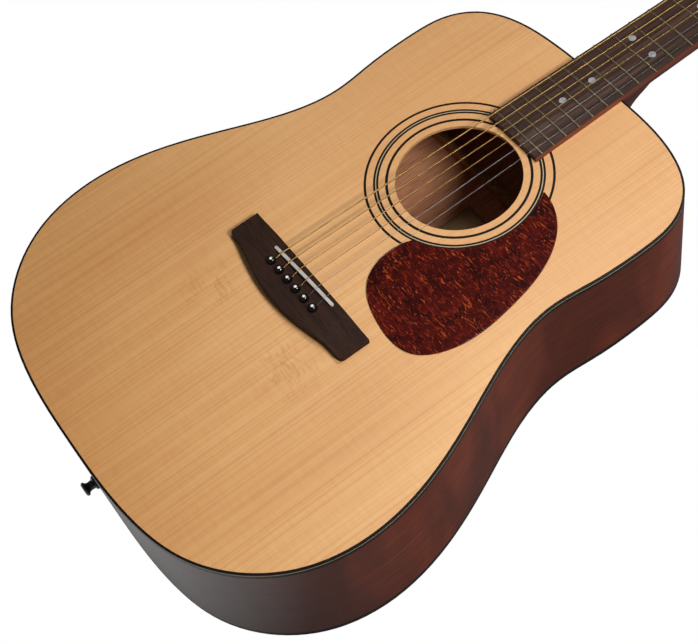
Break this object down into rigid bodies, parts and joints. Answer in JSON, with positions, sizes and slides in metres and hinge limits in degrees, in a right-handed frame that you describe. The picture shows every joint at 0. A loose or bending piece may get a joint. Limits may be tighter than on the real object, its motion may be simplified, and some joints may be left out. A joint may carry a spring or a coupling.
{
  "type": "acoustic guitar",
  "caption": "Steel-string dreadnought acoustic guitar: spruce top, dark ribs, black-ringed rosette, tortoise pickguard, pin bridge and geared tuners.",
  "frame": {"origin": "centre of the soundhole on the outer face of the soundboard", "axes": "+Z out of the soundboard, +Y toward the headstock, +X toward the treble side; the guitar lies on its back"},
  "size_m": [0.4008, 1.0666, 0.1349],
  "materials": {
    "spruce": "satin straight-grained softwood",
    "mahogany": "satin dark red-brown",
    "inner_wood": "bare",
    "neck_wood": "satin",
    "rosewood": "oiled",
    "bridge_wood": "satin",
    "black_plastic": "gloss",
    "cream_plastic": "gloss",
    "tortoise": "gloss mottled",
    "bone_plastic": "polished",
    "pearl": "pearl",
    "nickel": "polished",
    "chrome": "polished",
    "steel": "plain",
    "bronze": "wound",
    "brass": "plain",
    "black_metal": "dark grey"
  },
  "bodies": {
    "root": {"soundboard": "spruce", "back": "mahogany", "rib_bass": "mahogany", "rib_treble": "mahogany", "neck_block": "inner_wood", "tail_block": "inner_wood", "top_lining": "inner_wood", "back_lining": "inner_wood", "x_braces": "inner_wood", "tone_and_finger_braces": "inner_wood", "upper_transverse_brace": "inner_wood", "soundhole_braces": "inner_wood", "bridge_plate": "inner_wood", "back_braces": "inner_wood", "back_centre_strip": "inner_wood", "top_binding": "black_plastic", "binding_line": "cream_plastic", "back_binding": "black_plastic", "end_graft": "black_plastic", "rosette_black_rings": "black_plastic", "rosette_cream_ring": "cream_plastic", "pickguard": "tortoise", "bridge": "bridge_wood", "saddle": "bone_plastic", "bridge_pins": "black_plastic", "strap_button": "black_metal", "strap_button_screw": "steel", "neck": "neck_wood", "heel_cap": "black_plastic", "truss_rod": "steel", "truss_rod_cover": "black_plastic", "headstock_screws": "nickel", "headplate": "rosewood", "fretboard": "rosewood", "frets": "nickel", "position_markers": "pearl", "nut": "bone_plastic", "wound_strings": "bronze", "plain_strings": "steel", "string_ball_ends": "brass", "tuner_housings": "chrome", "tuner_bushings": "chrome"},
    "tuner_6_key": {"tuner_6_worm_shaft": "steel", "tuner_6_button": "chrome"},
    "tuner_6_spindle": {"tuner_6_post": "chrome"},
    "tuner_5_key": {"tuner_5_worm_shaft": "steel", "tuner_5_button": "chrome"},
    "tuner_5_spindle": {"tuner_5_post": "chrome"},
    "tuner_4_key": {"tuner_4_worm_shaft": "steel", "tuner_4_button": "chrome"},
    "tuner_4_spindle": {"tuner_4_post": "chrome"},
    "tuner_3_key": {"tuner_3_worm_shaft": "steel", "tuner_3_button": "chrome"},
    "tuner_3_spindle": {"tuner_3_post": "chrome"},
    "tuner_2_key": {"tuner_2_worm_shaft": "steel", "tuner_2_button": "chrome"},
    "tuner_2_spindle": {"tuner_2_post": "chrome"},
    "tuner_1_key": {"tuner_1_worm_shaft": "steel", "tuner_1_button": "chrome"},
    "tuner_1_spindle": {"tuner_1_post": "chrome"}
  },
  "joints": [
    {"name": "tuner_6_key_turn", "type": "hinge", "parent": "root", "child": "tuner_6_key", "pos_m": [-0.024, 0.56333, -0.03232], "axis": [-1, 0, 0], "continuous": true},
    {"name": "tuner_6_spindle_turn", "type": "hinge", "parent": "root", "child": "tuner_6_spindle", "pos_m": [-0.024, 0.5598, -0.01258], "axis": [0, 0.2419, 0.9703], "continuous": true},
    {"name": "tuner_5_key_turn", "type": "hinge", "parent": "root", "child": "tuner_5_key", "pos_m": [-0.024, 0.60215, -0.042], "axis": [-1, 0, 0], "continuous": true},
    {"name": "tuner_5_spindle_turn", "type": "hinge", "parent": "root", "child": "tuner_5_spindle", "pos_m": [-0.024, 0.59862, -0.02226], "axis": [0, 0.2419, 0.9703], "continuous": true},
    {"name": "tuner_4_key_turn", "type": "hinge", "parent": "root", "child": "tuner_4_key", "pos_m": [-0.024, 0.64096, -0.05167], "axis": [-1, 0, 0], "continuous": true},
    {"name": "tuner_4_spindle_turn", "type": "hinge", "parent": "root", "child": "tuner_4_spindle", "pos_m": [-0.024, 0.63743, -0.03193], "axis": [0, 0.2419, 0.9703], "continuous": true},
    {"name": "tuner_3_key_turn", "type": "hinge", "parent": "root", "child": "tuner_3_key", "pos_m": [0.024, 0.64096, -0.05167], "axis": [1, 0, 0], "continuous": true},
    {"name": "tuner_3_spindle_turn", "type": "hinge", "parent": "root", "child": "tuner_3_spindle", "pos_m": [0.024, 0.63743, -0.03193], "axis": [0, 0.2419, 0.9703], "continuous": true},
    {"name": "tuner_2_key_turn", "type": "hinge", "parent": "root", "child": "tuner_2_key", "pos_m": [0.024, 0.60215, -0.042], "axis": [1, 0, 0], "continuous": true},
    {"name": "tuner_2_spindle_turn", "type": "hinge", "parent": "root", "child": "tuner_2_spindle", "pos_m": [0.024, 0.59862, -0.02226], "axis": [0, 0.2419, 0.9703], "continuous": true},
    {"name": "tuner_1_key_turn", "type": "hinge", "parent": "root", "child": "tuner_1_key", "pos_m": [0.024, 0.56333, -0.03232], "axis": [1, 0, 0], "continuous": true},
    {"name": "tuner_1_spindle_turn", "type": "hinge", "parent": "root", "child": "tuner_1_spindle", "pos_m": [0.024, 0.5598, -0.01258], "axis": [0, 0.2419, 0.9703], "continuous": true}
  ],
  "couplings": [
    {"joint": "tuner_6_spindle_turn", "follows": "tuner_6_key_turn", "ratio": 0.066667},
    {"joint": "tuner_5_spindle_turn", "follows": "tuner_5_key_turn", "ratio": 0.066667},
    {"joint": "tuner_4_spindle_turn", "follows": "tuner_4_key_turn", "ratio": 0.066667},
    {"joint": "tuner_3_spindle_turn", "follows": "tuner_3_key_turn", "ratio": -0.066667},
    {"joint": "tuner_2_spindle_turn", "follows": "tuner_2_key_turn", "ratio": -0.066667},
    {"joint": "tuner_1_spindle_turn", "follows": "tuner_1_key_turn", "ratio": -0.066667}
  ]
}
